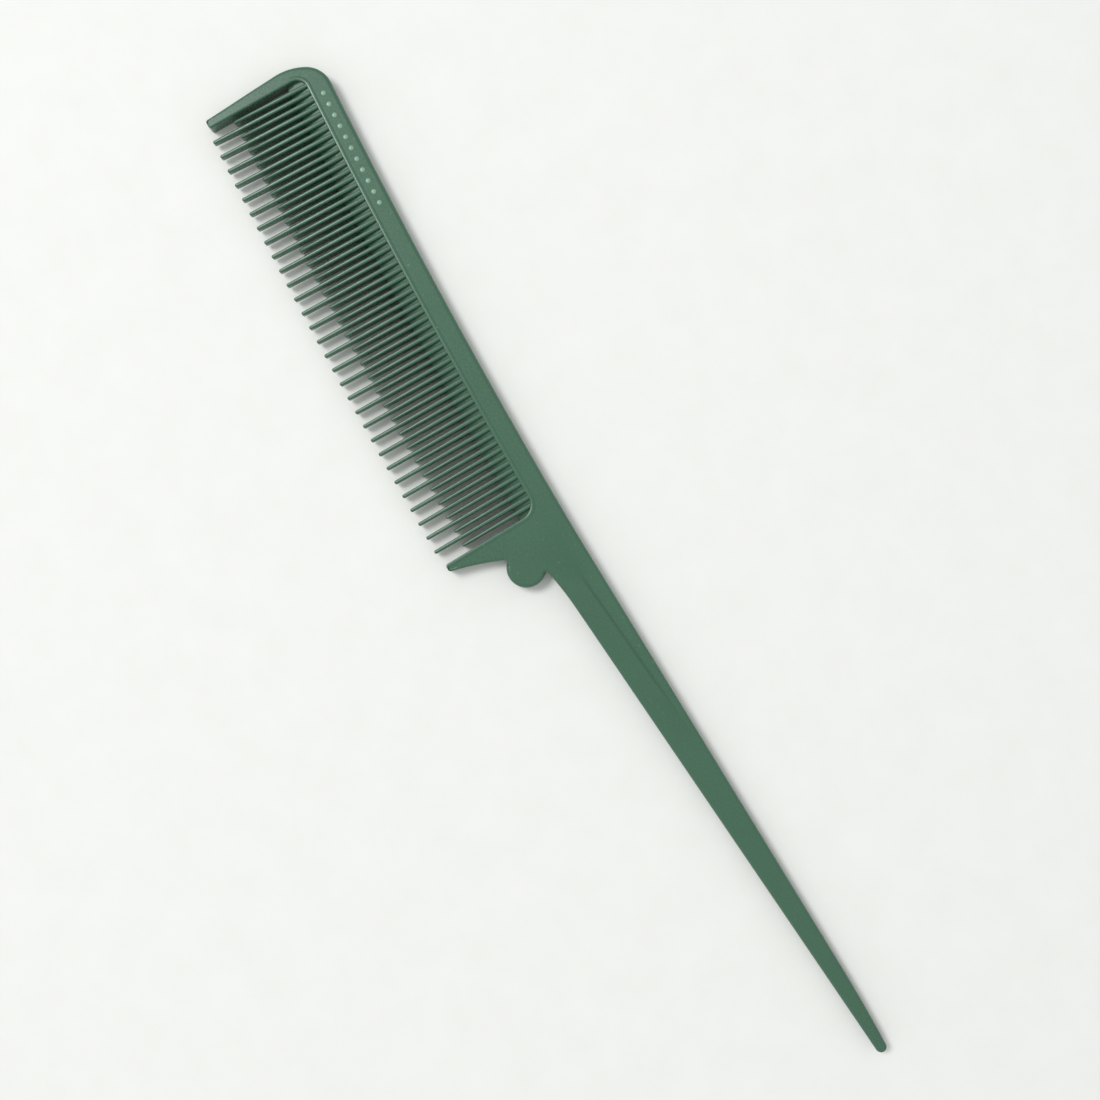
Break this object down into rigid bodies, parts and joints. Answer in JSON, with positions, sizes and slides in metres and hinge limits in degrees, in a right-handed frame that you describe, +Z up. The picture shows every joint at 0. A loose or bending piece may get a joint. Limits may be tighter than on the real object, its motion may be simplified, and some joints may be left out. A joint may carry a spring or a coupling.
{
  "type": "tail comb",
  "caption": "Flat one-piece moulded rat-tail teasing comb: bowed spine, alternating long and short teeth between guard teeth, round finger stop and long tapering tail.",
  "frame": {"origin": "on the supporting surface, under the centre of the comb's bounding box", "axes": "+X from the head end to the tail tip, +Y towards the back edge so that the teeth point to -Y, +Z up through the comb's thickness"},
  "size_m": [0.2254, 0.0296, 0.0041],
  "materials": {
    "green_plastic": "satin injection moulding, grey green"
  },
  "bodies": {
    "root": {"spine": "green_plastic", "head_corner": "green_plastic", "front_guard_tooth": "green_plastic", "neck": "green_plastic", "rear_guard_tooth": "green_plastic", "finger_stop": "green_plastic", "tail_shank": "green_plastic", "tail_tip": "green_plastic", "slot_webs": "green_plastic", "short_teeth": "green_plastic", "spine_dots": "green_plastic", "long_tooth_01": "green_plastic", "long_tooth_02": "green_plastic", "long_tooth_03": "green_plastic", "long_tooth_04": "green_plastic", "long_tooth_05": "green_plastic", "long_tooth_06": "green_plastic", "long_tooth_07": "green_plastic", "long_tooth_08": "green_plastic", "long_tooth_09": "green_plastic", "long_tooth_10": "green_plastic", "long_tooth_11": "green_plastic", "long_tooth_12": "green_plastic", "long_tooth_13": "green_plastic", "long_tooth_14": "green_plastic", "long_tooth_15": "green_plastic", "long_tooth_16": "green_plastic", "long_tooth_17": "green_plastic", "long_tooth_18": "green_plastic", "long_tooth_19": "green_plastic", "long_tooth_20": "green_plastic", "long_tooth_21": "green_plastic", "long_tooth_22": "green_plastic", "long_tooth_23": "green_plastic", "long_tooth_24": "green_plastic", "long_tooth_25": "green_plastic", "long_tooth_26": "green_plastic", "long_tooth_27": "green_plastic", "long_tooth_28": "green_plastic", "long_tooth_29": "green_plastic", "long_tooth_30": "green_plastic"}
  },
  "joints": []
}
